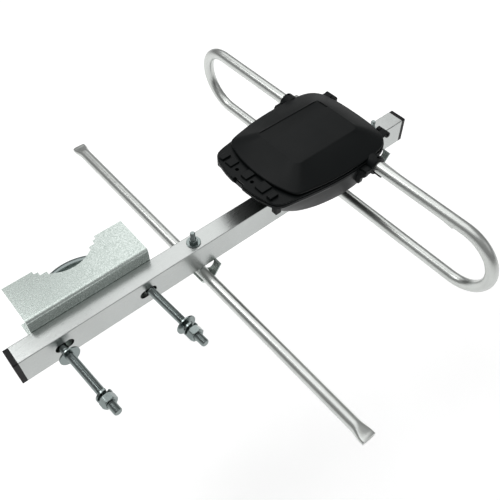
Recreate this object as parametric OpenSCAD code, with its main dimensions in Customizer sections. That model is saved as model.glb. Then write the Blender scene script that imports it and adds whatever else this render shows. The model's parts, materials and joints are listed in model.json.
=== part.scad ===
// Three-element yagi antenna on a rectangular boom, with a folded dipole, a junction box and a mast clamp.
// +X runs along the boom from the mast clamp to the dipole, +Z is up, elements lie along Y.
// The origin is the axis of a 50 mm mast held in the clamp, level with the boom's centre line.

/* [Node] */
// Sub-part to draw, or all

/* [Boom] */
// Length of the boom tube without its caps
boom_len = 470; // [460:1:480]
// Width of the boom tube across Y
boom_w = 20; // [20:0.5:22]
// Height of the boom tube
boom_h = 30; // [30:0.5:30]
// Wall thickness of the boom tube
boom_wall = 1.6; // [1.4:0.1:1.8]
// Thickness of an end cap's flange
cap_flange = 5; // [4:0.5:6]

/* [Mast clamp] */
// Width of the channel bracket along the boom
bracket_len = 122; // [118:1:126]
// Height of the channel bracket
bracket_h = 60; // [58:1:62]
// Depth of the channel bracket away from the boom
bracket_depth = 45.5; // [45:0.5:47]
// Sheet thickness of the bracket
bracket_sheet = 2; // [1.8:0.1:2.2]
// Distance between the two legs of the U-bolt
leg_pitch = 92; // [91:0.5:93]
// Radius of the U-bolt's rod
leg_r = 4; // [4:0.1:4]
// Angle the U-bolt sits at in its slots, in degrees
u_bolt_yaw = 3.2; // [0:0.4:3.2]

/* [Elements] */
// Length of the reflector
reflector_len = 461; // [450:1:470]
// Length of the director
director_len = 266; // [256:1:276]
// Angle the director is turned on its bolt, in degrees
director_yaw = 2.6; // [0:0.2:3]
// Overall length of the folded dipole
dipole_len = 426; // [416:1:436]
// Distance between the dipole's two legs
dipole_pitch = 74; // [74:0.5:74]
// Outer radius of every element tube
tube_r = 6; // [6:0.1:6]
// Wall thickness of every element tube
tube_wall = 1; // [0.8:0.1:1.2]

/* [Junction box] */
// Wall thickness of the box
box_wall = 2.2; // [2:0.1:2.4]
// Radius of the hole the cable leaves by
cable_hole_r = 4.5; // [4:0.1:5]

/* [Hidden] */
$fn = 72;
eps = 0.01;
seat_gap = 0.2;
mast_axis_y = 61.5;
boom_y = -mast_axis_y;
boom_x0 = -83;
boom_x1 = boom_x0 + boom_len;
boom_top = boom_h / 2;
boom_side = boom_w / 2;
boom_corner_r = 1;
cap_plug_len = 12;
cap_plug_gap = 0.15;
cap_plug_wall = 1.8;
cap_edge_r = 1.2;

// slots the U-bolt's legs pass through
slot_x = 43.6;
slot_half = 9;
slot_r = 4.8;

// mast clamp
bend_r = 3.5;
notch_floor_y = 36;
notch_floor_r = 32;
notch_step_1 = 42.8;
notch_step_2 = 47.2;
notch_step_3 = 51.7;
notch_half_1 = 21.5;
notch_half_2 = 28;
notch_half_3 = 31.8;
u_bow_y = 19.5;
u_pivot_x = -0.4;
leg_tip = 90;
leg_chamfer = 0.8;
m8_bore_r = 4.06;
m8_washer_bore_r = 4.1;
m8_washer_r = 10;
m8_washer_h = 1.6;
m8_spring_r = 7.3;
m8_spring_h = 4.4;
m8_spring_lift = 1.6;
m8_spring_gap = 1.4;
m8_nut_flats = 13;
m8_nut_h = 7.6;
loose_washer_at = 18;
rear_spring_at = 67.4;
rear_nut_at = 72;
front_flat_at = 62.6;
front_spring_at = 67;
front_nut_at = 71.6;

// elements
reflector_x = 104;
dipole_x = 285.3;
director_x = 348.5;
tube_z = -boom_top - tube_r - seat_gap;
dipole_lean = 4.7;
upper_leg_x = dipole_x - dipole_pitch * sin(dipole_lean);
upper_leg_z = tube_z + dipole_pitch * cos(dipole_lean);
reflector_shift = -2.5;
feed_gap = 26;
end_flat_len = 16;
end_flat_w = 15.4;
end_flat_h = 6;
end_slot_w = 10.5;
end_slot_h = 1.6;
end_slot_depth = 12;

// element bolts, M5
m5_r = 2.5;
m5_hole_r = 2.75;
m5_flats = 8;
m5_head_h = 3.5;
m5_nut_h = 4;
m5_washer_r = 7;
m5_washer_h = 1.2;
bolt_tip_z = 29;

// element clips
clip_sheet = 1.5;
clip_gap = 0.15;
clip_half = 18;
clip_flat = 8.1;
clip_wing_angle = 54;
clip_wing_len = 17.5;
clip_top = tube_r - 0.2;
clip_lip_z = -1.5;
clip_cut_r = 9.6;
clip_cut_at = 10.5;
clip_in_r = tube_r + clip_gap;
clip_out_r = clip_in_r + clip_sheet;

// junction box
box_floor_z = boom_top + seat_gap;
box_rim_z = 51.5;
box_seam_z = 55;
cover_gap = 0.4;
cover_low_z = box_seam_z + cover_gap;
strip_top_z = 57.8;
skirt_top_z = 60.5;
cover_top_z = 72;
hinge_x = 317;
hinge_z = 55.6;
hinge_r = 3.1;
hinge_pin_r = 1.5;
hinge_bore_r = 1.56;
hinge_root_x = 305;
ear_y0 = 30;
ear_y1 = 34.5;
barrel_y0 = 34.9;
barrel_y1 = 44;
collar_r = 9.2;
collar_bore_r = 6.3;
collar_y = 66;
collar_root_y = 53.6;
collar_hole_r = 1.3;
collar_hole_y = 63.6;
label_depth = 0.6;
label_x = 207.5;
label_y = 13.6;
label_len = 79.5;
label_w = 14.4;
plateau_x = 247.3;
plateau_len = 82.5;
plateau_w = 58;
plateau_r = 5;
screw_way_r = 2;
screw_pilot_r = 1.6;
screw_post_r = 3.4;
screw_post_z = 44;
screw_way_x = 171;
screw_way_y = [-6.8, 15.2];
strip_notch_x = 163.6;
strip_notch_y0 = -4.7;
strip_notch_y1 = 8.7;
cable_hole_x = 212;
cable_hole_y = -22;
board_x0 = 262;
board_x1 = 302;
core_x = 294;
core_r = 6;
core_h = 5;
board_half = 21;
board_z = upper_leg_z - tube_r - 2.2;
board_h = 1.6;
screw_r = 2;
screw_hole_r = 2.15;
screw_y = 17;
screw_flats = 7;

// raised pads on the cover's strip: near edge, width across Y, inner edge along X, height
strip_pads = [
  [-36.5, 6, 178, 2.2], [-25, 11, 180, 1.3], [-2, 8.5, 179, 1.3], [21, 9, 179, 1], [33, 6.5, 178, 1.5]
];
strip_pad_x = 168;
// side view of the gusset under the collar
gusset = [[52, 53], [66, 53], [66, 48], [62.6, 45.4], [60.6, 41.5], [59.8, 36.2], [57.4, 34.6], [52, 37]];
gusset_x = 262;
post_x = 168.8;
post_y = 37.2;
post_w = 6.5;
post_low_z = 43;
peg_r = 1.6;
peg_len = 7;
gusset_w = 4.6;

// outline of the seam between base and cover, one half
rim_half = [
  [160.5, 0], [160.6, 8], [161.6, 20], [163.8, 31], [167, 40.4], [171.3, 45.2], [178, 47.8], [190, 49.9],
  [201, 52], [215, 54.2], [228, 56], [245, 57.4], [262, 57.8], [280, 57.5], [294, 55.4], [303, 51],
  [308.6, 44], [311.2, 35], [313.2, 20], [313.8, 0]
];
// outline of the cover's dome, one half
dome_half = [
  [179.3, 0], [179.8, 12], [181.5, 25], [184.8, 37], [187.4, 43.5], [191, 48], [198, 50.4], [208, 52.4],
  [222, 54.8], [240, 56.6], [262, 57.2], [280, 56.9], [293.6, 54.8], [302.5, 50.5], [308, 43.6],
  [310.6, 34.8], [312.6, 20], [313.2, 0]
];
// outline of the base's floor, one half
floor_half = [
  [190, 0], [191, 12], [194, 22], [199, 29], [208, 35.6], [225, 42], [247, 46], [262, 46.6], [276, 46],
  [288, 42.5], [297, 36], [302, 27], [304, 13], [304.5, 0]
];
rim_size = [237, 76.6, 57.8];
dome_size = [246.2, 67, 57.2];
floor_size = [247.2, 57.2, 46.6];

// ---------- helpers ----------

module at_boom() {
  translate([0, boom_y, 0]) children();
}

module rod_y(r, y0, y1) {
  translate([0, y1, 0]) rotate([90, 0, 0]) cylinder(r = r, h = y1 - y0);
}

// rectangle with rounded corners, centred
module round_rect(w, h, r) {
  union() {
    square([w - 2 * r, h], center = true);
    square([w, h - 2 * r], center = true);
    for (sx = [-1, 1]) for (sy = [-1, 1])
      translate([sx * (w / 2 - r), sy * (h / 2 - r)]) circle(r = r);
  }
}

// full outline from one half, mirrored over X
function both_halves(half) = concat(half, [for (i = [len(half) - 2 : -1 : 1]) [half[i][0], -half[i][1]]]);

// outline moved inwards by a distance; size holds its centre in X and its half length and half width
function shrink(half, size, d) = [for (p = half)
  [size[0] + (p[0] - size[0]) * (1 - d / size[1]), p[1] * (1 - d / size[2])]];

module slab(half, z0, z1) {
  translate([0, 0, z0]) linear_extrude(height = z1 - z0) polygon(both_halves(half));
}

// ---------- boom ----------

module leg_slot_2d() {
  square([2 * (slot_half - slot_r), 2 * slot_r], center = true);
  for (s = [-1, 1]) translate([s * (slot_half - slot_r), 0]) circle(r = slot_r);
}

module leg_slots(y0, y1) {
  for (s = [-1, 1])
    translate([s * slot_x, y1, 0]) rotate([90, 0, 0]) linear_extrude(height = y1 - y0) leg_slot_2d();
}

module boom() {
  color([0.84, 0.85, 0.86])
  at_boom() difference() {
    translate([boom_x0, 0, 0]) rotate([90, 0, 90]) linear_extrude(height = boom_len)
      round_rect(boom_w, boom_h, boom_corner_r);
    translate([boom_x0 - 1, 0, 0]) rotate([90, 0, 90]) linear_extrude(height = boom_len + 2)
      square([boom_w - 2 * boom_wall, boom_h - 2 * boom_wall], center = true);
    leg_slots(-boom_side - 1, boom_side + 1);
    for (x = [reflector_x, dipole_x, director_x])
      translate([x, 0, -boom_top - 1]) cylinder(r = m5_hole_r, h = boom_h + 2);
  }
}

module end_cap() {
  plug_w = boom_w - 2 * boom_wall - 2 * cap_plug_gap;
  plug_h = boom_h - 2 * boom_wall - 2 * cap_plug_gap;
  union() {
    rotate([90, 0, 90]) linear_extrude(height = cap_flange) round_rect(boom_w, boom_h, cap_edge_r);
    difference() {
      translate([-cap_plug_len, 0, 0]) rotate([90, 0, 90]) linear_extrude(height = cap_plug_len + 1)
        square([plug_w, plug_h], center = true);
      translate([-cap_plug_len - 1, 0, 0]) rotate([90, 0, 90]) linear_extrude(height = cap_plug_len)
        square([plug_w - 2 * cap_plug_wall, plug_h - 2 * cap_plug_wall], center = true);
    }
  }
}

module rear_end_cap() {
  color([0.06, 0.06, 0.065])
  at_boom() translate([boom_x0, 0, 0]) mirror([1, 0, 0]) end_cap();
}

module front_end_cap() {
  color([0.06, 0.06, 0.065])
  at_boom() translate([boom_x1, 0, 0]) end_cap();
}

// ---------- mast clamp ----------

module channel_2d() {
  y0 = boom_side;
  y1 = boom_side + bracket_depth;
  half = bracket_h / 2;
  difference() {
    union() {
      translate([y0 + bend_r, -half]) square([bracket_depth - bend_r, bracket_h]);
      translate([y0, -half + bend_r]) square([bracket_depth, bracket_h - 2 * bend_r]);
      for (s = [-1, 1]) translate([y0 + bend_r, s * (half - bend_r)]) circle(r = bend_r);
    }
    union() {
      translate([y0 + bend_r, -half + bracket_sheet]) square([bracket_depth, bracket_h - 2 * bracket_sheet]);
      translate([y0 + bracket_sheet, -half + bend_r]) square([bracket_depth, bracket_h - 2 * bend_r]);
      for (s = [-1, 1]) translate([y0 + bend_r, s * (half - bend_r)]) circle(r = bend_r - bracket_sheet);
    }
  }
}

// stepped notch that grips the mast: a round floor, then three steps each side
module notch_2d() {
  far = boom_side + bracket_depth + 1;
  intersection() {
    translate([0, notch_floor_y + notch_floor_r]) circle(r = notch_floor_r);
    translate([-notch_half_1 + 1, 0]) square([2 * notch_half_1 - 2, notch_step_1 + 1]);
  }
  translate([-notch_half_1, notch_step_1]) square([2 * notch_half_1, far - notch_step_1]);
  translate([-notch_half_2, notch_step_2]) square([2 * notch_half_2, far - notch_step_2]);
  translate([-notch_half_3, notch_step_3]) square([2 * notch_half_3, far - notch_step_3]);
}

module mast_bracket() {
  color([0.74, 0.78, 0.76])
  at_boom() difference() {
    translate([-bracket_len / 2, 0, 0]) rotate([90, 0, 90]) linear_extrude(height = bracket_len) channel_2d();
    translate([0, 0, -bracket_h]) linear_extrude(height = 2 * bracket_h) notch_2d();
    leg_slots(boom_side - 1, boom_side + bracket_sheet + 1);
  }
}

// frame of the U-bolt: legs along -Y, turned in the slots
module at_u_bolt() {
  at_boom() translate([u_pivot_x, 0, 0]) rotate([0, 0, u_bolt_yaw]) children();
}

module u_bolt() {
  color([0.78, 0.79, 0.80])
  at_u_bolt() union() {
    for (s = [-1, 1]) translate([s * leg_pitch / 2, 0, 0]) {
      rod_y(leg_r, -leg_tip + leg_chamfer, u_bow_y);
      translate([0, -leg_tip + leg_chamfer, 0]) rotate([90, 0, 0])
        cylinder(r1 = leg_r, r2 = leg_r - leg_chamfer, h = leg_chamfer);
    }
    translate([0, u_bow_y, 0]) rotate_extrude(angle = 180) translate([leg_pitch / 2, 0]) circle(r = leg_r);
  }
}

module washer_y(r, bore, at, h) {
  translate([0, -at, 0]) rotate([90, 0, 0]) difference() {
    cylinder(r = r, h = h);
    translate([0, 0, -1]) cylinder(r = bore, h = h + 2);
  }
}

// split ring whose two halves stand at different heights
module spring_washer_y(at) {
  side = m8_spring_r + 1;
  translate([0, -at, 0]) rotate([90, 0, 0]) difference() {
    cylinder(r = m8_spring_r, h = m8_spring_h);
    translate([0, 0, -1]) cylinder(r = m8_washer_bore_r, h = m8_spring_h + 2);
    translate([0, -side, m8_spring_h - m8_spring_lift]) cube([side, 2 * side, m8_spring_lift + 1]);
    translate([-side, -side, -1]) cube([side, 2 * side, m8_spring_lift + 1]);
    translate([-m8_spring_gap / 2, 0, -1]) cube([m8_spring_gap, side, m8_spring_h + 2]);
  }
}

module nut_y(at) {
  corner_r = m8_nut_flats / 2 / cos(30);
  translate([0, -at, 0]) rotate([90, 0, 0]) difference() {
    intersection() {
      cylinder(r = corner_r, h = m8_nut_h, $fn = 6);
      union() {
        translate([0, 0, 0.7]) cylinder(r = corner_r + 1, h = m8_nut_h - 1.4);
        cylinder(r1 = m8_nut_flats / 2, r2 = m8_nut_flats / 2 + 1.6, h = 0.9);
        translate([0, 0, m8_nut_h - 0.9])
          cylinder(r1 = m8_nut_flats / 2 + 1.6, r2 = m8_nut_flats / 2, h = 0.9);
      }
    }
    translate([0, 0, -1]) cylinder(r = m8_bore_r, h = m8_nut_h + 2);
  }
}

module loose_flat_washer() {
  color([0.80, 0.81, 0.80])
  at_u_bolt() translate([-leg_pitch / 2, 0, 0])
    washer_y(m8_washer_r, m8_washer_bore_r, loose_washer_at, m8_washer_h);
}

module flat_washer() {
  color([0.80, 0.81, 0.80])
  at_u_bolt() translate([leg_pitch / 2, 0, 0])
    washer_y(m8_washer_r, m8_washer_bore_r, front_flat_at, m8_washer_h);
}

module spring_washer_rear() {
  color([0.70, 0.71, 0.71])
  at_u_bolt() translate([-leg_pitch / 2, 0, 0]) spring_washer_y(rear_spring_at);
}

module spring_washer_front() {
  color([0.70, 0.71, 0.71])
  at_u_bolt() translate([leg_pitch / 2, 0, 0]) spring_washer_y(front_spring_at);
}

module clamp_nut_rear() {
  color([0.78, 0.79, 0.80])
  at_u_bolt() translate([-leg_pitch / 2, 0, 0]) nut_y(rear_nut_at);
}

module clamp_nut_front() {
  color([0.78, 0.79, 0.80])
  at_u_bolt() translate([leg_pitch / 2, 0, 0]) nut_y(front_nut_at);
}

// ---------- elements ----------

// straight tube along Y with pressed flat ends
module straight_element(length, shift) {
  half = length / 2;
  body_half = half - end_flat_len;
  inner_r = tube_r - tube_wall;
  difference() {
    translate([0, shift, 0]) difference() {
      union() {
        rod_y(tube_r, -body_half, body_half);
        for (s = [-1, 1]) hull() {
          translate([0, s * (body_half - 0.5), 0]) rotate([90, 0, 0])
            cylinder(r = tube_r - eps, h = 0.4, center = true, $fn = 48);
          for (t = [-1, 1]) translate([t * (end_flat_w - end_flat_h) / 2, s * (half - 2.5), 0])
            rotate([90, 0, 0]) cylinder(r = end_flat_h / 2, h = 5, center = true, $fn = 24);
        }
      }
      rod_y(inner_r, -body_half + 1, body_half - 1);
      for (s = [-1, 1]) translate([0, s * half, 0])
        cube([end_slot_w, 2 * end_slot_depth, end_slot_h], center = true);
    }
    translate([0, 0, -tube_r - 1]) cylinder(r = m5_hole_r, h = 2 * tube_r + 2);
  }
}

module reflector() {
  color([0.82, 0.83, 0.84])
  at_boom() translate([reflector_x, 0, tube_z]) straight_element(reflector_len, reflector_shift);
}

module director() {
  color([0.82, 0.83, 0.84])
  at_boom() translate([director_x, 0, tube_z]) rotate([0, 0, -director_yaw]) straight_element(director_len, 0);
}

// one closed loop in an upright plane, open at the feed gap in its upper leg
module dipole_solid(r, extra) {
  bow_r = dipole_pitch / 2;
  half = dipole_len / 2 - bow_r - tube_r;
  rod_y(r, -half, half);
  translate([0, 0, dipole_pitch]) {
    rod_y(r, feed_gap / 2 - extra, half);
    rod_y(r, -half, -feed_gap / 2 + extra);
  }
  for (s = [-1, 1]) translate([0, s * half, bow_r]) rotate([0, 90, 0]) rotate([0, 0, s * 90 - 90])
    rotate_extrude(angle = 180) translate([bow_r, 0]) circle(r = r);
}

module dipole_loop() {
  color([0.82, 0.83, 0.84])
  at_boom() difference() {
    translate([dipole_x, 0, tube_z]) rotate([0, -dipole_lean, 0]) difference() {
      dipole_solid(tube_r, 0);
      dipole_solid(tube_r - tube_wall, 1);
    }
    translate([dipole_x, 0, tube_z - tube_r - 1]) cylinder(r = m5_hole_r, h = 2 * tube_r + 2);
    for (s = [-1, 1]) translate([upper_leg_x, s * screw_y, upper_leg_z - tube_r - 1])
      cylinder(r = screw_hole_r, h = 2 * tube_r + 2);
  }
}

// pressed clip under an element: a lip, a flat and a wing with an arched opening, seen from the end
module clip_profile() {
  difference() {
    circle(r = clip_out_r);
    circle(r = clip_in_r);
    translate([0, -clip_out_r - 1]) square([clip_out_r + 1, 2 * clip_out_r + 2]);
    translate([-clip_out_r - 1, clip_lip_z]) square([2 * clip_out_r + 2, 2 * clip_out_r]);
  }
  translate([-eps, -clip_out_r]) square([clip_flat + eps, clip_sheet]);
  difference() {
    translate([clip_flat, -clip_out_r]) rotate(clip_wing_angle) square([clip_wing_len, clip_sheet]);
    translate([0, clip_top]) square([3 * clip_flat, clip_wing_len]);
  }
}

module element_clip() {
  difference() {
    rotate([90, 0, 0]) linear_extrude(height = 2 * clip_half, center = true) clip_profile();
    translate([clip_flat, 0, -clip_out_r]) rotate([0, -clip_wing_angle, 0])
      translate([clip_cut_at, 0, -1]) cylinder(r = clip_cut_r, h = clip_sheet + 2);
    translate([0, 0, -clip_out_r - 1]) cylinder(r = m5_hole_r, h = clip_sheet + 2);
  }
}

module reflector_clip() {
  color([0.70, 0.74, 0.71])
  at_boom() translate([reflector_x, 0, tube_z]) element_clip();
}

module dipole_clip() {
  color([0.70, 0.74, 0.71])
  at_boom() translate([dipole_x, 0, tube_z]) element_clip();
}

module director_clip() {
  color([0.70, 0.74, 0.71])
  at_boom() translate([director_x, 0, tube_z]) rotate([0, 0, -director_yaw]) element_clip();
}

module element_bolt() {
  head_top = tube_z - clip_out_r - 0.05;
  translate([0, 0, head_top - eps]) cylinder(r = m5_r, h = bolt_tip_z - head_top - 0.6 + eps);
  translate([0, 0, bolt_tip_z - 0.6]) cylinder(r1 = m5_r, r2 = m5_r - 0.6, h = 0.6);
  translate([0, 0, head_top - m5_head_h]) cylinder(r = m5_flats / 2 / cos(30), h = m5_head_h, $fn = 6);
}

module reflector_bolt() {
  color([0.78, 0.79, 0.80])
  at_boom() translate([reflector_x, 0, 0]) element_bolt();
}

module dipole_bolt() {
  color([0.78, 0.79, 0.80])
  at_boom() translate([dipole_x, 0, 0]) element_bolt();
}

module director_bolt() {
  color([0.78, 0.79, 0.80])
  at_boom() translate([director_x, 0, 0]) element_bolt();
}

// seat of each element's washer: on the boom, or on the floor of the box
function washer_z(x) = (x == dipole_x ? box_floor_z + box_wall : boom_top) + 0.05;

module element_washers() {
  color([0.80, 0.81, 0.80])
  at_boom() for (x = [reflector_x, dipole_x, director_x])
    translate([x, 0, washer_z(x)]) difference() {
      cylinder(r = m5_washer_r, h = m5_washer_h);
      translate([0, 0, -1]) cylinder(r = m5_hole_r, h = m5_washer_h + 2);
    }
}

module element_nuts() {
  color([0.78, 0.79, 0.80])
  at_boom() for (x = [reflector_x, dipole_x, director_x])
    translate([x, 0, washer_z(x) + m5_washer_h + 0.05]) difference() {
      cylinder(r = m5_flats / 2 / cos(30), h = m5_nut_h, $fn = 6);
      translate([0, 0, -1]) cylinder(r = m5_r + 0.06, h = m5_nut_h + 2);
    }
}

// ---------- junction box ----------

module collar_blank(z_low, z_high) {
  intersection() {
    translate([upper_leg_x, 0, upper_leg_z]) rod_y(collar_r, -collar_y, collar_y);
    translate([upper_leg_x - 20, -collar_y - 1, z_low]) cube([40, 2 * collar_y + 2, z_high - z_low]);
  }
}

module tube_passage() {
  translate([upper_leg_x, 0, upper_leg_z]) rod_y(collar_bore_r, -collar_y - 5, collar_y + 5);
}

// rod along the cover's hinge axis, on one side of the box
module hinge_rod(r, s, near, far) {
  translate([hinge_x, 0, hinge_z]) rod_y(r, min(s * near, s * far), max(s * near, s * far));
}

module base_outside() {
  hull() {
    slab(floor_half, box_floor_z, box_floor_z + 1);
    slab(rim_half, box_rim_z, box_seam_z);
  }
}

module base_inside() {
  hull() {
    slab(shrink(floor_half, floor_size, box_wall), box_floor_z + box_wall, box_floor_z + box_wall + 1);
    slab(shrink(rim_half, rim_size, box_wall), box_rim_z + 1, box_seam_z + 1);
  }
}

// recess in the edge of the strip, through cover and base
module strip_notch() {
  translate([strip_notch_x - 8, strip_notch_y0, box_rim_z - 6])
    cube([8, strip_notch_y1 - strip_notch_y0, strip_top_z - box_rim_z + 10]);
}

module screw_ways(r, z0, z1) {
  for (y = screw_way_y) translate([screw_way_x, y, z0]) cylinder(r = r, h = z1 - z0);
}

// ear and pin that carry the cover, on one side
module base_ear(s) {
  near = s > 0 ? ear_y0 : -ear_y1;
  hinge_rod(hinge_r, s, ear_y0, ear_y1);
  hinge_rod(hinge_pin_r, s, ear_y1 - 1, barrel_y1 + 1);
  translate([hinge_x - hinge_r, near, box_rim_z - 3]) cube([2 * hinge_r, ear_y1 - ear_y0, hinge_z - box_rim_z + 3]);
  translate([hinge_root_x, near, box_rim_z - 3])
    cube([hinge_x - hinge_root_x, ear_y1 - ear_y0, box_seam_z - box_rim_z + 3]);
}

module box_base() {
  color([0.085, 0.09, 0.095])
  at_boom() difference() {
    union() {
      difference() {
        base_outside();
        base_inside();
      }
      for (s = [-1, 1]) {
        base_ear(s);
        // post under the rim's corner
        translate([post_x, s > 0 ? post_y : -post_y - post_w, post_low_z])
          cube([post_w, post_w, box_seam_z - 1 - post_low_z]);
        // gusset under the collar
        translate([gusset_x, 0, 0]) mirror([0, s > 0 ? 0 : 1, 0]) rotate([90, 0, 90])
          linear_extrude(height = gusset_w) polygon(gusset);
      }
      difference() {
        collar_blank(upper_leg_z - collar_r - 1, box_seam_z);
        translate([upper_leg_x - 20, -collar_root_y, 0]) cube([40, 2 * collar_root_y, 100]);
      }
      // foot bridging collar and gusset
      for (s = [-1, 1]) translate([gusset_x, s > 0 ? collar_root_y : -collar_y, upper_leg_z - 4.5])
        cube([upper_leg_x - collar_bore_r - gusset_x, collar_y - collar_root_y, box_seam_z - upper_leg_z + 4.5]);
      // peg beyond the near collar
      translate([upper_leg_x - 1, 0, upper_leg_z - 7.8]) rod_y(peg_r, -collar_y - peg_len, -collar_y + 5);
      // posts for the two closing screws
      intersection() {
        screw_ways(screw_post_r, screw_post_z, box_seam_z);
        base_outside();
      }
      // cable neck
      translate([cable_hole_x, cable_hole_y, box_floor_z]) cylinder(r = cable_hole_r + 2.6, h = 6);
    }
    tube_passage();
    strip_notch();
    screw_ways(screw_pilot_r, screw_post_z + 3, box_seam_z + 1);
    translate([dipole_x, 0, box_floor_z - 1]) cylinder(r = m5_hole_r, h = 10);
    translate([cable_hole_x, cable_hole_y, box_floor_z - 1]) cylinder(r = cable_hole_r, h = 10);
  }
}

// dome of the cover, from its skirt to the flat top
module cover_dome(inset, low_z, shoulder_z, top_z) {
  hull() {
    slab(shrink(dome_half, dome_size, inset), low_z, shoulder_z);
    translate([plateau_x, 0, top_z - 1]) linear_extrude(height = 1)
      round_rect(plateau_len - 2 * inset, plateau_w - 2 * inset, plateau_r);
  }
}

// closing strip beside the dome, with its raised pads
module cover_strip() {
  intersection() {
    slab(rim_half, cover_low_z, strip_top_z);
    translate([150, -70, cover_low_z - 1]) cube([170, 140, 10]);
  }
  for (p = strip_pads) translate([strip_pad_x, p[0], cover_low_z])
    cube([p[2] - strip_pad_x, p[1], strip_top_z - cover_low_z + p[3]]);
}

module box_cover() {
  color([0.10, 0.105, 0.11])
  at_boom() difference() {
    union() {
      difference() {
        union() {
          cover_strip();
          cover_dome(0, cover_low_z, skirt_top_z, cover_top_z);
        }
        cover_dome(box_wall, cover_low_z - 1, skirt_top_z - 0.6, cover_top_z - box_wall);
      }
      difference() {
        collar_blank(cover_low_z, upper_leg_z + collar_r + 1);
        translate([upper_leg_x - 20, -collar_root_y - 2, cover_low_z - 1]) cube([40, 2 * collar_root_y + 4, 30]);
      }
      for (s = [-1, 1]) {
        hinge_rod(hinge_r, s, barrel_y0, barrel_y1);
        translate([hinge_root_x, s > 0 ? barrel_y0 : -barrel_y1, cover_low_z])
          cube([hinge_x - hinge_root_x, barrel_y1 - barrel_y0, hinge_z + hinge_r - cover_low_z - 0.2]);
      }
    }
    for (s = [-1, 1]) {
      hinge_rod(hinge_bore_r, s, ear_y0 - 2, barrel_y1 + 5);
      translate([hinge_x - hinge_r - 0.6, s > 0 ? ear_y0 - 0.5 : -barrel_y0, cover_low_z - 1])
        cube([9, barrel_y0 - ear_y0 + 0.5, 12]);
      translate([upper_leg_x + 1, s * collar_hole_y, upper_leg_z]) cylinder(r = collar_hole_r, h = 20);
    }
    tube_passage();
    strip_notch();
    screw_ways(screw_way_r, cover_low_z - 1, strip_top_z + 4);
    // blank label recess
    translate([label_x, label_y, cover_top_z - label_depth]) cube([label_len, label_w, 2]);
  }
}

// ---------- inside the box ----------

module matching_board() {
  color([0.10, 0.30, 0.16])
  at_boom() difference() {
    union() {
      translate([board_x0, -board_half, board_z - board_h]) cube([board_x1 - board_x0, 2 * board_half, board_h]);
      // core of the balun
      translate([core_x, 0, board_z - eps]) cylinder(r = core_r, h = core_h);
    }
    for (s = [-1, 1]) translate([upper_leg_x, s * screw_y, board_z - 5]) cylinder(r = screw_hole_r, h = 10);
    translate([core_x, 0, board_z - 4]) cylinder(r = core_r / 2.5, h = 12);
  }
}

module terminal_screws() {
  tip_z = board_z - board_h - 3.8;
  seat_z = upper_leg_z + tube_r + 0.1;
  color([0.80, 0.68, 0.38])
  at_boom() for (s = [-1, 1]) translate([upper_leg_x, s * screw_y, 0]) {
    translate([0, 0, tip_z]) cylinder(r = screw_r, h = seat_z - tip_z + 0.5);
    translate([0, 0, seat_z]) cylinder(r = 1.8 * screw_r, h = 2.4);
  }
}

module terminal_nuts() {
  color([0.78, 0.79, 0.80])
  at_boom() for (s = [-1, 1]) translate([upper_leg_x, s * screw_y, board_z - board_h - 3.2]) difference() {
    cylinder(r = screw_flats / 2 / cos(30), h = 3, $fn = 6);
    translate([0, 0, -1]) cylinder(r = screw_r + 0.06, h = 5);
  }
}

module cable_grommet() {
  color([0.05, 0.05, 0.055])
  at_boom() translate([cable_hole_x, cable_hole_y, 0]) difference() {
    union() {
      translate([0, 0, box_floor_z - 1.6]) cylinder(r = cable_hole_r + 2, h = 1.5);
      translate([0, 0, box_floor_z - 0.2]) cylinder(r = cable_hole_r - 0.1, h = 6.4);
    }
    translate([0, 0, box_floor_z - 3]) cylinder(r = 3.1, h = 14);
  }
}

// ---------- drawing ----------

boom();
rear_end_cap();
front_end_cap();
mast_bracket();
u_bolt();
loose_flat_washer();
flat_washer();
spring_washer_rear();
spring_washer_front();
clamp_nut_rear();
clamp_nut_front();
reflector();
dipole_loop();
director();
reflector_clip();
dipole_clip();
director_clip();
reflector_bolt();
dipole_bolt();
director_bolt();
element_washers();
element_nuts();
box_base();
box_cover();
matching_board();
terminal_screws();
terminal_nuts();
cable_grommet();
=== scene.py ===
import json
import math

import bmesh
import bpy
from mathutils import Matrix, Vector


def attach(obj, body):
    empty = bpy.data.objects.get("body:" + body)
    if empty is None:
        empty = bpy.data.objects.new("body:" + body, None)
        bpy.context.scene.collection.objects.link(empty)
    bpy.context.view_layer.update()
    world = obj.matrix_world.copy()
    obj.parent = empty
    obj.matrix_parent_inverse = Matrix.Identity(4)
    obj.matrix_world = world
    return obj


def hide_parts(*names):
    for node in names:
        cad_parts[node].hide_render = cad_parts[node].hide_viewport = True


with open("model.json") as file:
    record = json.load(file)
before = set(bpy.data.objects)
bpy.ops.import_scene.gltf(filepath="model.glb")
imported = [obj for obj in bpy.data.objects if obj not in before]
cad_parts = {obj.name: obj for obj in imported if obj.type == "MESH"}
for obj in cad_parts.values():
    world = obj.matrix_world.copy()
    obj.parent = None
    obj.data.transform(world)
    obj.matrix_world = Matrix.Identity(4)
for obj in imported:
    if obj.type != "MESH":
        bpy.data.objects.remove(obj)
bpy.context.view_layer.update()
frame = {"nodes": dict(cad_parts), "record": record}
nodes = frame["nodes"]

BOOM_Y = -61.5  # the boom's centre line in the row frame, mm


def row(x, y, z):
    """A point given in mm from the boom's centre line, in the row frame's metres."""
    return Vector((x, y + BOOM_Y, z)) / 1000


# ---------- materials ----------


def new_material(name):
    made = bpy.data.materials.new(name)
    made.use_nodes = True
    tree = made.node_tree
    return made, tree, tree.nodes["Principled BSDF"]


def node(tree, kind, **inputs):
    made = tree.nodes.new(kind)
    for key, value in inputs.items():
        made.inputs[key.replace("_", " ")].default_value = value
    return made


def object_coords(tree, scale):
    coords = tree.nodes.new("ShaderNodeTexCoord")
    mapping = tree.nodes.new("ShaderNodeMapping")
    mapping.inputs["Scale"].default_value = scale
    tree.links.new(coords.outputs["Object"], mapping.inputs["Vector"])
    return mapping.outputs["Vector"]


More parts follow.
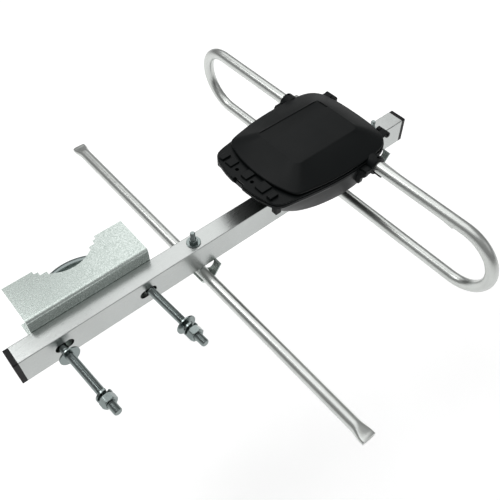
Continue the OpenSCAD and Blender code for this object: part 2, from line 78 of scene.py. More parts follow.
def ramp(tree, source, stops):
    made = tree.nodes.new("ShaderNodeValToRGB")
    tree.links.new(source, made.inputs["Fac"])
    elements = made.color_ramp.elements
    while len(elements) < len(stops):
        elements.new(0.5)
    for element, (place, value) in zip(elements, stops):
        element.position = place
        element.color = value if isinstance(value, tuple) else (value, value, value, 1)
    return made.outputs["Color"]


def noise(tree, vector, scale, detail=3.0, roughness=0.55):
    made = node(tree, "ShaderNodeTexNoise", Scale=scale, Detail=detail, Roughness=roughness)
    tree.links.new(vector, made.inputs["Vector"])
    return made.outputs["Fac"]


def bump(tree, height, shader, strength, distance):
    made = node(tree, "ShaderNodeBump", Strength=strength, Distance=distance)
    tree.links.new(height, made.inputs["Height"])
    tree.links.new(made.outputs["Normal"], shader.inputs["Normal"])


def metal(name, colour, stretch, grain, rough, grain_strength=0.15, patches=8.0):
    """Bare metal with a drawn grain along one axis and soft patches of tarnish."""
    made, tree, shader = new_material(name)
    shader.inputs["Metallic"].default_value = 1.0
    lines = noise(tree, object_coords(tree, stretch), grain, 6.0, 0.7)
    cloud = noise(tree, object_coords(tree, (1, 1, 1)), patches, 4.0)
    dark = tuple(c * 0.86 for c in colour) + (1,)
    tint = ramp(tree, cloud, [(0.3, dark), (0.7, tuple(colour) + (1,))])
    tree.links.new(tint, shader.inputs["Base Color"])
    gloss = ramp(tree, lines, [(0.25, rough[0]), (0.75, rough[1])])
    tree.links.new(gloss, shader.inputs["Roughness"])
    bump(tree, lines, shader, grain_strength, 0.00015)
    return made


def galvanised(name):
    """Zinc spangle: crystals of different grey with soft edges."""
    made, tree, shader = new_material(name)
    shader.inputs["Metallic"].default_value = 0.85
    vector = object_coords(tree, (1, 1, 1))
    cells = node(tree, "ShaderNodeTexVoronoi", Scale=1500.0, Randomness=1.0)
    tree.links.new(vector, cells.inputs["Vector"])
    grey = tree.nodes.new("ShaderNodeRGBToBW")
    tree.links.new(cells.outputs["Color"], grey.inputs["Color"])
    dark, middle, light = (0.45, 0.51, 0.48, 1), (0.56, 0.62, 0.59, 1), (0.67, 0.73, 0.70, 1)
    tint = ramp(tree, grey.outputs["Val"], [(0.2, dark), (0.5, middle), (0.8, light)])
    tree.links.new(tint, shader.inputs["Base Color"])
    gloss = ramp(tree, grey.outputs["Val"], [(0.2, 0.36), (0.8, 0.24)])
    tree.links.new(gloss, shader.inputs["Roughness"])
    bump(tree, noise(tree, vector, 900.0), shader, 0.15, 0.0002)
    return made


def plastic(name, colour, rough, texture, specular=0.2):
    """Moulded plastic with a fine grain and faint handling marks."""
    made, tree, shader = new_material(name)
    vector = object_coords(tree, (1, 1, 1))
    cloud = noise(tree, vector, 25.0, 5.0)
    tint = ramp(tree, cloud, [(0.3, tuple(c * 0.85 for c in colour) + (1,)), (0.7, tuple(colour) + (1,))])
    tree.links.new(tint, shader.inputs["Base Color"])
    gloss = ramp(tree, cloud, [(0.3, rough[0]), (0.7, rough[1])])
    tree.links.new(gloss, shader.inputs["Roughness"])
    shader.inputs["Specular IOR Level"].default_value = specular
    bump(tree, noise(tree, vector, texture, 2.0), shader, 0.25, 0.00012)
    return made


MATERIALS = {
    "boom_aluminium": metal("boom_metal", (0.51, 0.53, 0.52), (1, 30, 30), 90.0, (0.24, 0.36), 0.2),
    "tube_aluminium": metal("tube_metal", (0.62, 0.64, 0.62), (30, 1, 30), 90.0, (0.26, 0.38), 0.25, 30.0),
    "galvanised_steel": galvanised("zinc_spangle"),
    "zinc_steel": metal("zinc_plate", (0.26, 0.30, 0.295), (1, 1, 1), 400.0, (0.16, 0.28), 0.1),
    "black_plastic": plastic("cap_plastic", (0.006, 0.006, 0.007), (0.42, 0.5), 1500.0),
    "box_plastic": plastic("box_plastic", (0.0030, 0.0044, 0.0046), (0.42, 0.50), 1800.0, 0.15),
    "board_green": plastic("board_mask", (0.02, 0.12, 0.05), (0.25, 0.35), 800.0),
    "terminal_brass": metal("brass", (0.80, 0.62, 0.28), (1, 1, 1), 300.0, (0.2, 0.3)),
    "grommet_rubber": plastic("rubber", (0.02, 0.02, 0.02), (0.6, 0.75), 1200.0),
}
slot_of = {s["node"]: s["material_slot"] for s in frame["record"]["subparts"]}


def paint(obj, slot):
    """Gives a piece the look of its slot."""
    obj.data.materials.clear()
    obj.data.materials.append(MATERIALS[slot])


for name, obj in nodes.items():
    paint(obj, slot_of[name])

# ---------- mesh building ----------

X_AXIS = Vector((1, 0, 0))
Y_AXIS = Vector((0, 1, 0))
UP = Vector((0, 0, 1))


def plain_mesh(name, points, faces, weld=False):
    """A new object from points in mm, given in the boom's frame."""
    mesh = bpy.data.meshes.new(name)
    mesh.from_pydata([row(*p) for p in points], [], faces)
    work = bmesh.new()
    work.from_mesh(mesh)
    if weld:
        bmesh.ops.remove_doubles(work, verts=work.verts, dist=1e-7)
    bmesh.ops.recalc_face_normals(work, faces=work.faces)
    work.to_mesh(mesh)
    work.free()
    obj = bpy.data.objects.new(name, mesh)
    bpy.context.scene.collection.objects.link(obj)
    return obj


def add_mesh(name, points, faces, slot, body, replaced=(), smooth=35.0):
    """A finished piece: it rides on a body and stands for CAD nodes."""
    obj = plain_mesh(name, points, faces, weld=True)
    finish_piece(obj, slot, body, replaced, smooth)


def finish_piece(obj, slot, body, replaced, smooth, bevel=0.0):
    """Shades and paints a piece, hangs it on its body and hides the CAD nodes that it stands for."""
    soften(obj, smooth, bevel)
    paint(obj, slot)
    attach(obj, body)
    if replaced:
        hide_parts(*replaced)


def soften(obj, smooth, bevel):
    """Rounds the sharp edges a little and shades the rest smoothly."""
    for face in obj.data.polygons:
        face.use_smooth = True
    mark_sharp(obj.data, math.radians(smooth))
    if bevel:
        made = obj.modifiers.new("edge", "BEVEL")
        made.width = bevel / 1000
        made.segments = 2
        made.limit_method = "ANGLE"
        made.angle_limit = math.radians(40)
        made.harden_normals = True


def mark_sharp(mesh, angle):
    """Keeps edges crisp where two faces meet at more than an angle."""
    work = bmesh.new()
    work.from_mesh(mesh)
    for edge in work.edges:
        edge.smooth = len(edge.link_faces) == 2 and edge.calc_face_angle(0) < angle
    work.to_mesh(mesh)
    work.free()


def cut(obj, cutters):
    """Takes solids away from a piece for good."""
    for cutter in cutters:
        made = obj.modifiers.new("cut", "BOOLEAN")
        made.operation = "DIFFERENCE"
        made.solver = "EXACT"
        made.object = cutter
    graph = bpy.context.evaluated_depsgraph_get()
    result = bpy.data.meshes.new_from_object(obj.evaluated_get(graph))
    obj.modifiers.clear()
    obj.data = result
    for cutter in cutters:
        bpy.data.objects.remove(cutter)


def block(name, x, y, z):
    """A box between two limits along each axis."""
    corners = [(a, b, c) for c in z for b in y for a in x]
    faces = [(0, 1, 3, 2), (4, 5, 7, 6), (0, 1, 5, 4), (2, 3, 7, 6), (0, 2, 6, 4), (1, 3, 7, 5)]
    return plain_mesh(name, corners, faces)


def loft(rings, closed=False):
    """Points and faces of a skin through rings of equal length."""
    count = len(rings[0])
    points = [p for r in rings for p in r]
    faces = []
    spans = len(rings) if closed else len(rings) - 1
    for i in range(spans):
        a, b = i * count, ((i + 1) % len(rings)) * count
        for k in range(count):
            n = (k + 1) % count
            faces.append((a + k, a + n, b + n, b + k))
    if not closed:
        faces.append(tuple(range(count)))
        faces.append(tuple(range(len(points) - count, len(points))))
    return points, faces


def ring_about(centre, u, v, radius, count=48):
    """A circle, or any closed curve whose radius depends on its angle, about a centre."""
    made = []
    for k in range(count):
        angle = 2 * math.pi * k / count
        r = radius(angle) if callable(radius) else radius
        made.append(tuple(centre + u * (r * math.cos(angle)) + v * (r * math.sin(angle))))
    return made


def frame_on(axis):
    """A direction of length one, and two more square to it and to each other."""
    axis = Vector(axis).normalized()
    side = UP if abs(axis.z) < 0.9 else X_AXIS
    u = side.cross(axis).normalized()
    return axis, u, axis.cross(u)


def rod(name, start, end, radius, count=40):
    """A plain cylinder between two points."""
    start, end = Vector(start), Vector(end)
    _, u, v = frame_on(end - start)
    return plain_mesh(name, *loft([ring_about(place, u, v, radius, count) for place in (start, end)]))


def thread_radius(depth, crest, pitch, phase, angle):
    """Radius of a screw thread at a place along its axis and an angle round it."""
    turn = (phase / pitch - angle / (2 * math.pi)) % 1.0
    return crest - depth * min(1.0, 1.35 * abs(2 * turn - 1))


# ---------- folded dipole and straight elements ----------

TUBE_R = 6.0
TUBE_Z = -21.2
WALL = 1.0
DIPOLE_X, DIPOLE_LEAN, DIPOLE_PITCH, DIPOLE_HALF = 285.3, math.radians(4.7), 74.0, 170.0
GAP_HALF = 13.0
REFLECTOR_X, REFLECTOR_LENGTH, REFLECTOR_SHIFT = 104.0, 461.0, -2.5
DIRECTOR_X, DIRECTOR_LENGTH, DIRECTOR_YAW = 348.5, 266.0, math.radians(-2.6)
# a straight element's pressed ends: their length, and half the height and width, outside and of the bore
PRESS_LENGTH, PRESS_END = 13.0, 3.0
PRESSED_OUTSIDE, PRESSED_BORE = (3.0, 7.7), (0.8, 5.25)
UPPER_X = DIPOLE_X - DIPOLE_PITCH * math.sin(DIPOLE_LEAN)
UPPER_Z = TUBE_Z + DIPOLE_PITCH * math.cos(DIPOLE_LEAN)


def dipole_point(y, height):
    """A point of the dipole's leaning plane, at a height up from its lower leg."""
    return Vector((DIPOLE_X - height * math.sin(DIPOLE_LEAN), y, TUBE_Z + height * math.cos(DIPOLE_LEAN)))


def dipole_path():
    """Centre line from one side of the feed gap round the loop to the other side."""
    bow = DIPOLE_PITCH / 2
    path = [dipole_point(y, DIPOLE_PITCH) for y in (GAP_HALF, 60, 110, 150, DIPOLE_HALF)]
    for i in range(1, 36):
        angle = math.pi / 2 - math.pi * i / 36
        path.append(dipole_point(DIPOLE_HALF + bow * math.cos(angle), bow + bow * math.sin(angle)))
    path += [dipole_point(y, 0) for y in (DIPOLE_HALF, 120, 60, 0, -60, -120, -DIPOLE_HALF)]
    for i in range(1, 36):
        angle = -math.pi / 2 - math.pi * i / 36
        path.append(dipole_point(-DIPOLE_HALF + bow * math.cos(angle), bow + bow * math.sin(angle)))
    path += [dipole_point(y, DIPOLE_PITCH) for y in (-DIPOLE_HALF, -150, -110, -60, -GAP_HALF)]
    return path


def build_dipole():
    """The folded tube, open at the feed gap, with its bore."""
    path = dipole_path()
    flat = Vector((math.cos(DIPOLE_LEAN), 0, math.sin(DIPOLE_LEAN)))
    outer, inner = [], []
    for i, p in enumerate(path):
        along = (path[min(i + 1, len(path) - 1)] - path[max(i - 1, 0)]).normalized()
        side = flat.cross(along).normalized()
        outer.append(ring_about(p, flat, side, TUBE_R, 48))
        inner.append(ring_about(p, flat, side, TUBE_R - WALL, 48))
    points, faces = loft(outer + inner[::-1], closed=True)
    add_mesh("folded_dipole_tube", points, faces, "tube_aluminium", "boom_body", ("dipole_loop",), 50)


def pressed_ring(y, share, bore):
    """Section of a tube at y: round at share 0, pressed flat at share 1."""
    radius = TUBE_R - WALL if bore else TUBE_R
    flat_h, flat_w = PRESSED_BORE if bore else PRESSED_OUTSIDE
    half_h = radius + share * (flat_h - radius)
    half_w = radius + share * (flat_w - radius)
    ring = []
    for k in range(48):
        angle = 2 * math.pi * k / 48
        c, s = math.cos(angle), math.sin(angle)
        shift = (half_w - half_h) * max(-1.0, min(1.0, 2.2 * c))
        ring.append((half_h * c + shift, y, half_h * s))
    return ring


def element_end(side, half):
    """Rings of the outside and of the bore, from the round tube to one pressed end."""
    outside, bore = [], []
    for t in (0, 0.06, 0.2, 0.4, 0.6, 0.8, 0.94, 1.0):
        eased = t * t * (3 - 2 * t)
        y = side * (half - PRESS_LENGTH - PRESS_END + PRESS_LENGTH * t)
        outside.append(pressed_ring(y, eased, False))
        bore.append(pressed_ring(y, eased, True))
    outside.append(pressed_ring(side * (half - 0.4), 1.0, False))
    outside.append([(x * 0.98, side * half, z * 0.94) for x, _, z in pressed_ring(0, 1.0, False)])
    bore.append(pressed_ring(side * half, 1.0, True))
    return outside, bore


def build_element(name, length, shift, x, yaw, body, node_name):
    """A straight tube with pressed ends, turned about its bolt."""
    near_outside, near_bore = element_end(-1, length / 2)
    far_outside, far_bore = element_end(1, length / 2)
    bore = near_bore[::-1] + far_bore
    points, faces = loft(near_outside[::-1] + far_outside + bore[::-1], closed=True)
    cos_yaw, sin_yaw = math.cos(yaw), math.sin(yaw)
    turned = []
    for px, py, pz in points:
        along = py + shift
        turned.append((x + px * cos_yaw - along * sin_yaw, px * sin_yaw + along * cos_yaw, TUBE_Z + pz))
    add_mesh(name, turned, faces, "tube_aluminium", body, (node_name,), 40)


build_dipole()
build_element("reflector_tube", REFLECTOR_LENGTH, REFLECTOR_SHIFT, REFLECTOR_X, 0.0,
              "reflector_body", "reflector")
build_element("director_tube", DIRECTOR_LENGTH, 0.0, DIRECTOR_X, DIRECTOR_YAW,
              "director_body", "director")

# ---------- U-bolt and its nuts ----------

LEG, LEG_PITCH, YAW, PIVOT_X = 4.0, 92.0, math.radians(3.2), -0.4
BOW_Y, TIP, THREAD_TO = 19.5, 90.0, 12.0
M8_PITCH, M8_DEPTH, M5_PITCH, M5_DEPTH = 1.25, 0.55, 0.8, 0.4
THREAD_STEPS = 6  # rings for each turn of a thread
ROD_COUNT = 30
ALONG = Vector((-math.sin(YAW), math.cos(YAW), 0))
ACROSS = Vector((math.cos(YAW), math.sin(YAW), 0))


def clamp_point(across, along):
    """A point in the U-bolt's own frame, which is turned a little in its slots."""
    return Vector((PIVOT_X, 0, 0)) + ACROSS * across + ALONG * along


def threaded_leg(side):
    """Rings of one leg, from its tip to where its thread runs out and on to the bow."""
    made = []
    steps = int((TIP - THREAD_TO) / M8_PITCH * THREAD_STEPS)
    for i in range(steps + 1):
        t = -TIP + (TIP - THREAD_TO) * i / steps
        fade = max(0.0, min(1.0, (-THREAD_TO - t) / 2.5))
        chamfer = max(0.0, 0.9 - (t + TIP))

        def radius(angle, t=t, fade=fade, chamfer=chamfer):
            return min(thread_radius(M8_DEPTH * fade, LEG, M8_PITCH, t, angle * side), LEG - chamfer)
        made.append(ring_about(clamp_point(side * LEG_PITCH / 2, t), ACROSS * side, UP, radius, ROD_COUNT))
    for t in (-6.0, 2.0, 10.0):
        made.append(ring_about(clamp_point(side * LEG_PITCH / 2, t), ACROSS * side, UP, LEG, ROD_COUNT))
    return made


def build_u_bolt():
    """One threaded leg, the bow and the other leg as a single rod."""
    bow_steps = 40
    rings = threaded_leg(-1)
    for i in range(bow_steps + 1):
        angle = math.pi - math.pi * i / bow_steps
        out = ACROSS * math.cos(angle) + ALONG * math.sin(angle)
        centre = clamp_point(0, BOW_Y) + out * (LEG_PITCH / 2)
        rings.append(ring_about(centre, out, UP, LEG, ROD_COUNT))
    rings += threaded_leg(1)[::-1]
    add_mesh("u_bolt_rod", *loft(rings), "zinc_steel", "u_bolt_body", ("u_bolt",), 30)


def hex_radius(flats, angle):
    """How far a hexagon's side is from its middle at an angle."""
    sector = (angle + math.pi / 6) % (math.pi / 3) - math.pi / 6
    return flats / 2 / math.cos(sector)


def build_nut(name, centre, axis, flats, height, bore, body, replaced=(), head=False, turn=0.0):
    """A hexagon nut or bolt head with turned-off corners. centre is in the middle of its first face."""
    axis, u, v = frame_on(axis)
    centre = Vector(centre)
    corner = flats / 2 / math.cos(math.pi / 6)
    end, shoulder = flats / 2 * 0.97, flats / 2 + 0.35
    # heights along the axis, and how far out a corner may reach there
    limits = [(0.0, end), (0.35, shoulder), (0.9, corner)]
    limits += [(height - z, limit) for z, limit in limits[::-1]]
    rings, count = [], 96
    for z, limit in limits:
        def radius(angle, limit=limit):
            return min(hex_radius(flats - 0.05, angle + turn), limit)
        rings.append(ring_about(centre + axis * z, u, v, radius, count))
    if head:
        rings.append(ring_about(centre + axis * height, u, v, flats * 0.15, count))
        points, faces = loft(rings)
    else:
        for z, r in ((height, bore + 0.5), (height - 0.6, bore), (0.6, bore), (0.0, bore + 0.5)):
            rings.append(ring_about(centre + axis * z, u, v, r, count))
        points, faces = loft(rings, closed=True)
    add_mesh(name, points, faces, "zinc_steel", body, replaced, 22)


def washer_section(outer, bore, low, high):
    """Radius and height of a flat ring's section, with its outer edges eased."""
    edge = 0.25
    return [(bore, low), (outer - edge, low), (outer, low + edge),
            (outer, high - edge), (outer - edge, high), (bore, high)]


def build_washer(name, centre, axis, outer, bore, height, body, replaced=()):
    """A flat ring. centre is in the middle of its first face."""
    axis, u, v = frame_on(axis)
    centre = Vector(centre)
    section = washer_section(outer, bore, 0, height)
    rings = [ring_about(centre + axis * z, u, v, r, 72) for r, z in section]
    add_mesh(name, *loft(rings, closed=True), "zinc_steel", body, replaced, 30)


def build_spring_washer(name, centre, axis, outer, bore, sheet, rise, body, replaced=()):
    """A split ring that climbs along its axis as it goes round."""
    axis, u, v = frame_on(axis)
    centre = Vector(centre)
    gap, steps = math.radians(11), 72
    rings = []
    for i in range(steps + 1):
        share = i / steps
        angle = gap + (2 * math.pi - 2 * gap) * share + 0.9
        out = u * math.cos(angle) + v * math.sin(angle)
        section = washer_section(outer, bore, rise * share, rise * share + sheet)
        rings.append([tuple(centre + out * r + axis * z) for r, z in section])
    add_mesh(name, *loft(rings), "zinc_steel", body, replaced, 30)


NEAR = -ALONG
# outer radius, bore radius and height; for the nut its width across flats, height and bore radius
FLAT_WASHER, SPRING_WASHER, SPRING_RISE, CLAMP_NUT = (10, 4.1, 1.6), (7.3, 4.1, 2.2), 2.2, (13, 7.6, 4.06)
# side of the leg, then where the spring washer and the nut start along it
STACKS = {"rear": (-1, 67.4, 72.0), "front": (1, 67.0, 71.6)}
LOOSE_WASHER_AT, FRONT_WASHER_AT = 18, 62.6


def build_flat_washer(name, side, along, body, node_name):
    centre = clamp_point(side * LEG_PITCH / 2, -along)
    build_washer(name, centre, NEAR, *FLAT_WASHER, body, (node_name,))


build_u_bolt()
build_flat_washer("loose_washer", -1, LOOSE_WASHER_AT, "loose_washer_body", "loose_flat_washer")
build_flat_washer("front_flat_washer", 1, FRONT_WASHER_AT, "front_washer_body", "flat_washer")
for label, (side, spring_at, nut_at) in STACKS.items():
    spring_centre, nut_centre = (clamp_point(side * LEG_PITCH / 2, -along) for along in (spring_at, nut_at))
    build_spring_washer(label + "_spring_washer", spring_centre, NEAR, *SPRING_WASHER, SPRING_RISE,
                        label + "_washer_body", ("spring_washer_" + label,))
    build_nut(label + "_clamp_nut", nut_centre, NEAR, *CLAMP_NUT, label + "_nut_body",
              ("clamp_nut_" + label,), turn=math.pi / 6)

# ---------- element bolts ----------

BOOM_TOP, BOLT_TIP, BOLT_R = 15.0, 29.0, 2.5
CLIP_DEPTH, BOX_FLOOR_TOP, CLEARANCE = 7.65, 17.4, 0.05
HEAD_TOP = TUBE_Z - CLIP_DEPTH - CLEARANCE
# the washer's outer radius, bore radius and height; then width across flats, height and bore radius
BOLT_WASHER, BOLT_NUT, BOLT_HEAD = (7, 2.75, 1.2), (8, 4, 2.56), (8, 3.5, 0)


def build_element_bolt(label, x, node_name):
    """The bolt that holds an element: it stands in the boom with its head under the clip."""
    rings = [ring_about(Vector((x, 0, HEAD_TOP)), X_AXIS, Y_AXIS, BOLT_R, 24)]
    start = BOOM_TOP - 2.0
    steps = int((BOLT_TIP - start) / M5_PITCH * THREAD_STEPS)
    for i in range(steps + 1):
        z = start + (BOLT_TIP - start) * i / steps
        chamfer = max(0.0, 0.6 - (BOLT_TIP - z))

        def radius(angle, z=z, chamfer=chamfer):
            return min(thread_radius(M5_DEPTH, BOLT_R, M5_PITCH, z, angle), BOLT_R - chamfer)
        rings.append(ring_about(Vector((x, 0, z)), X_AXIS, Y_AXIS, radius, 24))
    add_mesh(label + "_bolt_shank", *loft(rings), "zinc_steel", "boom_body", (node_name,), 30)
    build_nut(label + "_bolt_shank_head", (x, 0, HEAD_TOP), -UP, *BOLT_HEAD, "boom_body", head=True)


for label, x in (("reflector", REFLECTOR_X), ("dipole", DIPOLE_X), ("director", DIRECTOR_X)):
    build_element_bolt(label, x, label + "_bolt")
    seat = (BOX_FLOOR_TOP if label == "dipole" else BOOM_TOP) + CLEARANCE
    nut_seat = seat + BOLT_WASHER[2] + CLEARANCE
    first = label == "reflector"  # the first washer and nut stand for the CAD's groups of three
    build_washer(label + "_washer", (x, 0, seat), UP, *BOLT_WASHER, "boom_body", ("element_washers",) * first)
    build_nut(label + "_nut", (x, 0, nut_seat), UP, *BOLT_NUT, "boom_body", ("element_nuts",) * first)

# ---------- junction box ----------

# half outlines seen from above: the rim, the dome's foot and the base's floor
RIM = [(160.5, 0), (160.6, 8), (161.6, 20), (163.8, 31), (167, 40.4), (171.3, 45.2), (178, 47.8), (190, 49.9),
       (201, 52), (215, 54.2), (228, 56), (245, 57.4), (262, 57.8), (280, 57.5), (294, 55.4), (303, 51),
       (308.6, 44), (311.2, 35), (313.2, 20), (313.8, 0)]
DOME = [(179.3, 0), (179.8, 12), (181.5, 25), (184.8, 37), (187.4, 43.5), (191, 48), (198, 50.4), (208, 52.4),
        (222, 54.8), (240, 56.6), (262, 57.2), (280, 56.9), (293.6, 54.8), (302.5, 50.5), (308, 43.6),
        (310.6, 34.8), (312.6, 20), (313.2, 0)]
BASE_FLOOR = [(190, 0), (191, 12), (194, 22), (199, 29), (208, 35.6), (225, 42), (247, 46), (262, 46.6),
              (276, 46), (288, 42.5), (297, 36), (302, 27), (304, 13), (304.5, 0)]
PLATEAU_X, PLATEAU_Y, PLATEAU_R = (206.05, 288.55), (-29, 29), 7
BOX_CENTRE = (246.0, 0.0)
BOX_COUNT = 180
# heights
FLOOR_TOP, BASE_RIM, SEAM, RIM_LOW, STRIP_TOP, SKIRT_TOP, COVER_TOP = 15.2, 51.5, 55.0, 55.4, 57.8, 60.5, 72.0
STRIP_DIP = STRIP_TOP - 0.7
BASE_WALL, BASE_FLOOR_WALL, COVER_WALL = 2.4, 1.8, 2.2
# the label field's recess and its floor's height
LABEL_X, LABEL_Y, LABEL_FLOOR = (207.5, 287), (13.6, 28), 71.4
HINGE = (317.0, 55.6)
HINGE_R, PIN_R, PIN_BORE = 3.1, 1.5, 1.56
EAR, BARREL, PIN = (30.0, 34.5), (34.9, 44.0), (34, 44.9)
SIDES = ((-1, "near"), (1, "far"))
SCREW_WAYS = ((171, -6.8), (171, 15.2))
SCREW_HOLE_R, PILOT_R, POST_R = 2.0, 1.6, 3.4
CABLE_HOLE, CABLE_HOLE_R, BOLT_HOLE_R = (212, -22), 4.5, 2.75
# raised pads on the strip: near edge, width, inner edge, height
STRIP_PADS = ((-36.5, 6, 178, 2.2), (-25, 11, 180, 1.3), (-2, 8.5, 179, 1.3), (21, 9, 179, 1.0),
              (33, 6.5, 178, 1.5))
PASSAGE_R, COLLAR_R, COLLAR_END = 6.3, 9.2, 66.0
COLLAR_HOLE_Y, COLLAR_HOLE_R = 63.6, 1.3
NOTCH_X, NOTCH_Y = (155, 163.6), (-4.7, 8.7)
EAR_WAY_X, EAR_WAY_INNER = (313.3, 326), 29.5
POST_FOOT, PILOT_FLOOR = 45, 47
# the peg on the near side: distances along Y and radii
PEG, PEG_DROP = ((-61, 1.6), (-72.6, 1.6), (-73, 1.2)), 7.8
GUSSET = [(52, 53), (65.8, 53), (65.8, 48), (64, 46.2), (62.6, 45.2), (61.2, 43), (60.4, 40.5),
          (59.9, 36.4), (59, 35), (57.4, 34.6), (52, 37)]


def closed_outline(half):
    """Both halves of an outline, rounded through its points."""
    whole = half + [(x, -y) for x, y in half[-2:0:-1]]
    fine = []
    for i in range(len(whole)):
        a, b, c, d = (Vector((*whole[(i + k) % len(whole)], 0)) for k in (-1, 0, 1, 2))
        for k in range(8):
            t = k / 8
            square = (2 * a - 5 * b + 4 * c - d) * t ** 2
            cube = (3 * b - a - 3 * c + d) * t ** 3
            p = 0.5 * (2 * b + (c - a) * t + square + cube)
            fine.append((p.x, p.y))
    return fine


def rounded_rectangle(x, y, r):
    """An outline between two limits along each axis, with round corners."""
    near_x, far_x, near_y, far_y = x[0] + r, x[1] - r, y[0] + r, y[1] - r
    corners = ((far_x, far_y, 0), (near_x, far_y, 90), (near_x, near_y, 180), (far_x, near_y, 270))
    made = []
    for cx, cy, start in corners:
        for k in range(9):
            angle = math.radians(start + 90 * k / 8)
            made.append((cx + r * math.cos(angle), cy + r * math.sin(angle)))
    return made


def rays(outline):
    """The outline's distance from the box's centre in evenly spaced directions."""
    cx, cy = BOX_CENTRE
    found = []
    for k in range(BOX_COUNT):
        angle = 2 * math.pi * k / BOX_COUNT
        dx, dy = math.cos(angle), math.sin(angle)
        best = 0.0
        for i in range(len(outline)):
            ax, ay = outline[i][0] - cx, outline[i][1] - cy
            bx, by = outline[(i + 1) % len(outline)][0] - cx, outline[(i + 1) % len(outline)][1] - cy
            ex, ey = bx - ax, by - ay
            cross = dx * ey - dy * ex
            if abs(cross) < 1e-9:
                continue
            distance = (ax * ey - ay * ex) / cross
            share = (ax * dy - ay * dx) / cross
            if distance > 0 and -1e-6 <= share <= 1 + 1e-6:
                best = max(best, distance)
        found.append(best)
    return found


def ray_ring(distances, z, inset=0.0):
    """A level ring from the distances of rays, moved inwards by inset."""
    ring = []
    for k, distance in enumerate(distances):
        angle = 2 * math.pi * k / len(distances)
        reach = distance - inset
        ring.append((BOX_CENTRE[0] + reach * math.cos(angle), BOX_CENTRE[1] + reach * math.sin(angle), z))
    return ring


def mix(a, b, share):
    """An outline's rays on their way from one outline to another."""
    return [p + (q - p) * share for p, q in zip(a, b)]


rim = rays(closed_outline(RIM))
dome = rays(closed_outline(DOME))
plateau = rays(rounded_rectangle(PLATEAU_X, PLATEAU_Y, PLATEAU_R))
base_floor = rays(closed_outline(BASE_FLOOR))


def dome_rings(inset, low, top):
    """Rings of the dome from its foot, up its skirt and slopes, to its plateau."""
    skirt = ((low, 1.5), (STRIP_TOP + 0.2, 1.5), (STRIP_TOP + 1.1, 0.2), (SKIRT_TOP - 0.9, 0),
             (SKIRT_TOP - 0.3, 0.15), (SKIRT_TOP + 0.2, 0.6), (SKIRT_TOP + 0.6, 1.5))
    made = [ray_ring(dome, z, inset + d) for z, d in skirt]
    slope_foot = [d - 1.5 for d in dome]
    start, rise = SKIRT_TOP + 0.6, top - SKIRT_TOP - 1.0
    for share in (0.1, 0.25, 0.4, 0.55, 0.7, 0.82, 0.92, 0.98):
        height = start + rise * (0.82 * share + 0.18 * math.sin(share * math.pi / 2))
        made.append(ray_ring(mix(slope_foot, plateau, share), height, inset))
    made.append(ray_ring(plateau, top - 0.15, inset + 0.5))
    made.append(ray_ring(plateau, top, inset + 1.6))
    return made


def passage():
    """The room the dipole's upper leg takes up."""
    return rod("passage", (UPPER_X, -80, UPPER_Z), (UPPER_X, 80, UPPER_Z), PASSAGE_R)


def drill(x, y, z, radius, count=40):
    """An upright cutter from one height to another."""
    return rod("drill", (x, y, z[0]), (x, y, z[1]), radius, count)


def notch():
    """The opening in the strip's outer edge."""
    return block("notch", NOTCH_X, NOTCH_Y, (45, 61))


def mirrored(side, y):
    """A stretch along Y on one side of the boom, lower end first."""
    return sorted((side * y[0], side * y[1]))


def box_piece(name, x, y, z, body, bevel=0.6):
    """A finished block of the junction box's plastic."""
    finish_piece(block(name, x, sorted(y), z), "box_plastic", body, (), 35, bevel)


def build_dome():
    """The hollow dome, with its label recess and room for the base's ears."""
    outside = dome_rings(0.0, RIM_LOW, COVER_TOP)
    inside = dome_rings(COVER_WALL, RIM_LOW, COVER_TOP - COVER_WALL)
    obj = plain_mesh("junction_box_cover", *loft(outside[::-1] + inside))
    way = (EAR_WAY_INNER, BARREL[0])
    ear_ways = [block("ear_way", EAR_WAY_X, mirrored(s, way), (50, 66)) for s, _ in SIDES]
    cut(obj, [passage(), block("label", LABEL_X, LABEL_Y, (LABEL_FLOOR, 74))] + ear_ways)
    finish_piece(obj, "box_plastic", "cover_body", ("box_cover",), 28)


def build_flange():
    """The flange round the dome, wide on the side of the closing screws."""
    edge = ((RIM_LOW, 1.3), (RIM_LOW + 0.5, 0.25), (RIM_LOW + 0.9, 0), (STRIP_DIP - 0.5, 0), (STRIP_DIP, 0.5))
    rings = [ray_ring(rim, z, d) for z, d in edge]
    rings += [ray_ring(dome, z, 2.0) for z in (STRIP_DIP, RIM_LOW)]
    flange = plain_mesh("junction_box_flange", *loft(rings, closed=True))
    cut(flange, [passage(), notch()] + [drill(x, y, (40, 62), SCREW_HOLE_R, 28) for x, y in SCREW_WAYS])
    finish_piece(flange, "box_plastic", "cover_body", (), 30)
    for i, (y, width, inner_x, height) in enumerate(STRIP_PADS):
        pad = block(f"strip_pad_{i}", (168, inner_x), (y, y + width), (STRIP_DIP - 0.8, STRIP_TOP + height))
        finish_piece(pad, "box_plastic", "cover_body", (), 35, 0.5)


def build_cover():
    build_dome()
    build_flange()
    for s, side in SIDES:
        half_collar("cover_collar_" + side, s, True, "cover_body")
        y = mirrored(s, BARREL)
        barrel("cover_barrel_" + side, y, PIN_BORE, HINGE_R, "cover_body")
        arm_y = (y[0] + 0.2, y[1] - 0.2)
        box_piece("cover_barrel_arm_" + side, (305, HINGE[0]), arm_y, (RIM_LOW, 58.4), "cover_body", 0.8)


